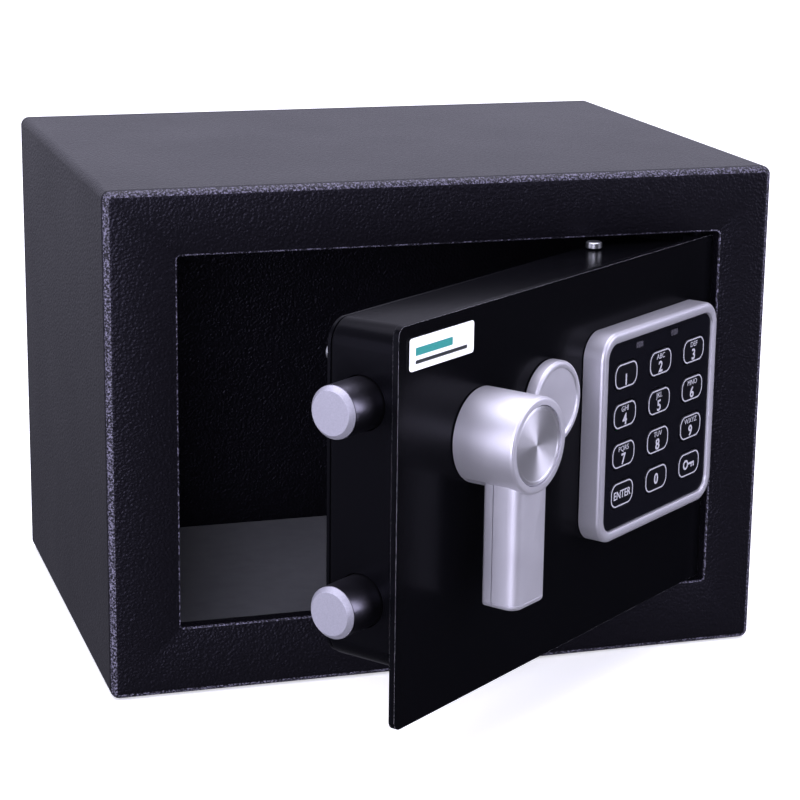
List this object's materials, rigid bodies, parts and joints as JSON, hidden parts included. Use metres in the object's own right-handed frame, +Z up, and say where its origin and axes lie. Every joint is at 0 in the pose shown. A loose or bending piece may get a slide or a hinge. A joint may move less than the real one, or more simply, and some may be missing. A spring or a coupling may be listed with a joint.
{
  "type": "small electronic safe",
  "caption": "Small black steel safe, door ajar on pin hinges, with sliding round bolts, a lever handle, a keypad and a capped override lock.",
  "frame": {"origin": "centre of the cabinet's underside, on the surface it stands on", "axes": "+Z up, +Y into the depth of the cabinet towards its back panel, +X to the right as seen from the doorway"},
  "size_m": [0.23, 0.2787, 0.17],
  "materials": {
    "cabinet_coat": "fine textured black powder coat on folded sheet steel",
    "felt_mat": "pressed grey needle felt",
    "door_coat": "smooth satin black powder coat",
    "zinc_plate": "bright zinc plate",
    "bolt_chrome": "turned steel bolt, bright plated",
    "spun_cap": "spun aluminium with fine concentric turning marks",
    "satin_silver": "cast metal with a satin silver finish",
    "silver_plastic": "moulded plastic with satin silver paint",
    "gloss_panel": "gloss black panel",
    "key_plastic": "gloss black key caps with light grey legends",
    "led_lens": "unlit smoked indicator lens",
    "circuit_board": "green printed circuit board",
    "brass": "turned brass",
    "battery_wrap": "printed metal jacket of a dry cell, no lettering",
    "black_plastic": "moulded black plastic",
    "red_plastic": "moulded red plastic",
    "label_film": "plain white label film"
  },
  "bodies": {
    "body": {"body_wrap": "cabinet_coat", "back_panel": "cabinet_coat", "front_frame": "cabinet_coat", "floor_mat": "felt_mat", "upper_hinge_plate": "door_coat", "lower_hinge_plate": "door_coat"},
    "door": {"door_plate": "door_coat", "door_tray": "door_coat", "inner_cover": "door_coat", "cover_screw_1": "zinc_plate", "cover_screw_2": "zinc_plate", "cover_screw_3": "zinc_plate", "cover_screw_4": "zinc_plate", "upper_hinge_pin": "zinc_plate", "lower_hinge_pin": "zinc_plate", "stop_pin": "zinc_plate", "name_label": "label_film", "keypad_housing": "silver_plastic", "keypad_overlay": "gloss_panel", "keypad_board": "circuit_board", "led_left": "led_lens", "led_right": "led_lens", "spindle_bush": "brass", "solenoid_body": "zinc_plate", "plunger_spring": "zinc_plate", "lock_barrel": "zinc_plate", "battery_tray": "black_plastic", "battery_1": "battery_wrap", "battery_2": "battery_wrap", "battery_3": "battery_wrap", "battery_4": "battery_wrap", "reset_switch": "black_plastic", "wiring": "black_plastic"},
    "handle": {"handle_shell": "satin_silver", "handle_cap": "spun_cap", "handle_back": "satin_silver", "handle_spindle": "zinc_plate", "spindle_cam": "zinc_plate"},
    "bolts": {"bolt_carrier": "zinc_plate", "bolt_upper": "bolt_chrome", "bolt_lower": "bolt_chrome"},
    "plunger": {"solenoid_plunger": "zinc_plate"},
    "lock_core": {"lock_plug": "brass", "lock_cam": "zinc_plate"},
    "key_cap": {"key_cover": "satin_silver"},
    "battery_lid": {"battery_cover": "door_coat"},
    "reset": {"reset_button": "red_plastic"},
    "key_1_cap": {"key_1": "key_plastic"},
    "key_2_cap": {"key_2": "key_plastic"},
    "key_3_cap": {"key_3": "key_plastic"},
    "key_4_cap": {"key_4": "key_plastic"},
    "key_5_cap": {"key_5": "key_plastic"},
    "key_6_cap": {"key_6": "key_plastic"},
    "key_7_cap": {"key_7": "key_plastic"},
    "key_8_cap": {"key_8": "key_plastic"},
    "key_9_cap": {"key_9": "key_plastic"},
    "key_enter_cap": {"key_enter": "key_plastic"},
    "key_0_cap": {"key_0": "key_plastic"},
    "key_unlock_cap": {"key_unlock": "key_plastic"}
  },
  "joints": [
    {"name": "door_swing", "type": "hinge", "parent": "body", "child": "door", "pos_m": [0.09, -0.0802, 0.085], "axis": [0, 0, 1], "range_deg": [-37, 53]},
    {"name": "handle_turn", "type": "hinge", "parent": "door", "child": "handle", "pos_m": [-0.01732, -0.16708, 0.107], "axis": [-0.6018, 0.7986, 0], "range_deg": [0, 60]},
    {"name": "bolt_slide", "type": "slide", "parent": "door", "child": "bolts", "axis": [0.7986, 0.6018, 0], "range_m": [0, 0.013]},
    {"name": "plunger_slide", "type": "slide", "parent": "door", "child": "plunger", "axis": [0, 0, 1], "range_m": [-0.005, 0], "stiffness_N_per_m": 40, "springref_m": -0.006, "deforming": ["plunger_spring"]},
    {"name": "lock_turn", "type": "hinge", "parent": "door", "child": "lock_core", "pos_m": [0.01223, -0.14482, 0.1095], "axis": [-0.6018, 0.7986, 0], "range_deg": [0, 90]},
    {"name": "key_cover_lift", "type": "slide", "parent": "door", "child": "key_cap", "axis": [0.6018, -0.7986, 0], "range_m": [0, 0.012]},
    {"name": "battery_cover_lift", "type": "slide", "parent": "door", "child": "battery_lid", "axis": [-0.6018, 0.7986, 0], "range_m": [0, 0.02]},
    {"name": "reset_press", "type": "slide", "parent": "door", "child": "reset", "axis": [0.6018, -0.7986, 0], "range_m": [0, 0.002], "stiffness_N_per_m": 250},
    {"name": "key_1_press", "type": "slide", "parent": "door", "child": "key_1_cap", "axis": [-0.6018, 0.7986, 0], "range_m": [0, 0.0007], "stiffness_N_per_m": 300},
    {"name": "key_2_press", "type": "slide", "parent": "door", "child": "key_2_cap", "axis": [-0.6018, 0.7986, 0], "range_m": [0, 0.0007], "stiffness_N_per_m": 300},
    {"name": "key_3_press", "type": "slide", "parent": "door", "child": "key_3_cap", "axis": [-0.6018, 0.7986, 0], "range_m": [0, 0.0007], "stiffness_N_per_m": 300},
    {"name": "key_4_press", "type": "slide", "parent": "door", "child": "key_4_cap", "axis": [-0.6018, 0.7986, 0], "range_m": [0, 0.0007], "stiffness_N_per_m": 300},
    {"name": "key_5_press", "type": "slide", "parent": "door", "child": "key_5_cap", "axis": [-0.6018, 0.7986, 0], "range_m": [0, 0.0007], "stiffness_N_per_m": 300},
    {"name": "key_6_press", "type": "slide", "parent": "door", "child": "key_6_cap", "axis": [-0.6018, 0.7986, 0], "range_m": [0, 0.0007], "stiffness_N_per_m": 300},
    {"name": "key_7_press", "type": "slide", "parent": "door", "child": "key_7_cap", "axis": [-0.6018, 0.7986, 0], "range_m": [0, 0.0007], "stiffness_N_per_m": 300},
    {"name": "key_8_press", "type": "slide", "parent": "door", "child": "key_8_cap", "axis": [-0.6018, 0.7986, 0], "range_m": [0, 0.0007], "stiffness_N_per_m": 300},
    {"name": "key_9_press", "type": "slide", "parent": "door", "child": "key_9_cap", "axis": [-0.6018, 0.7986, 0], "range_m": [0, 0.0007], "stiffness_N_per_m": 300},
    {"name": "key_enter_press", "type": "slide", "parent": "door", "child": "key_enter_cap", "axis": [-0.6018, 0.7986, 0], "range_m": [0, 0.0007], "stiffness_N_per_m": 300},
    {"name": "key_0_press", "type": "slide", "parent": "door", "child": "key_0_cap", "axis": [-0.6018, 0.7986, 0], "range_m": [0, 0.0007], "stiffness_N_per_m": 300},
    {"name": "key_unlock_press", "type": "slide", "parent": "door", "child": "key_unlock_cap", "axis": [-0.6018, 0.7986, 0], "range_m": [0, 0.0007], "stiffness_N_per_m": 300}
  ],
  "couplings": [
    {"joint": "bolt_slide", "follows": "handle_turn", "m_per_rad": 0.012414}
  ]
}
